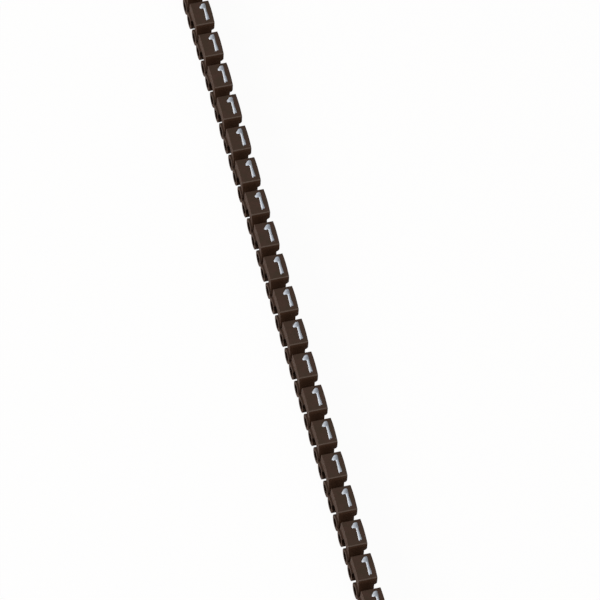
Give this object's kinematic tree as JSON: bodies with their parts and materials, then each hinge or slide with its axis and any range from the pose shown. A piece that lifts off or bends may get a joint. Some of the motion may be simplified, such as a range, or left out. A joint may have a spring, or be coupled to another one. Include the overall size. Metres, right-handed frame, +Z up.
{
  "type": "cable marker",
  "caption": "Strip of clip-on wire markers moulded in one piece, each a crowned plate with a digit over a spring clip with two curled legs and a slit at the back.",
  "frame": {"origin": "middle of the strip's box, on the surface that the clips' backs lie on", "axes": "+X along the wire to the plate's overhanging end, +Y along the strip to the digits' heads, +Z up out of the plates"},
  "size_m": [0.0024, 0.0918, 0.0049],
  "materials": {
    "brown_plastic": "satin",
    "white_print": "satin"
  },
  "bodies": {
    "root": {"marker_strip": "brown_plastic"}
  },
  "joints": []
}
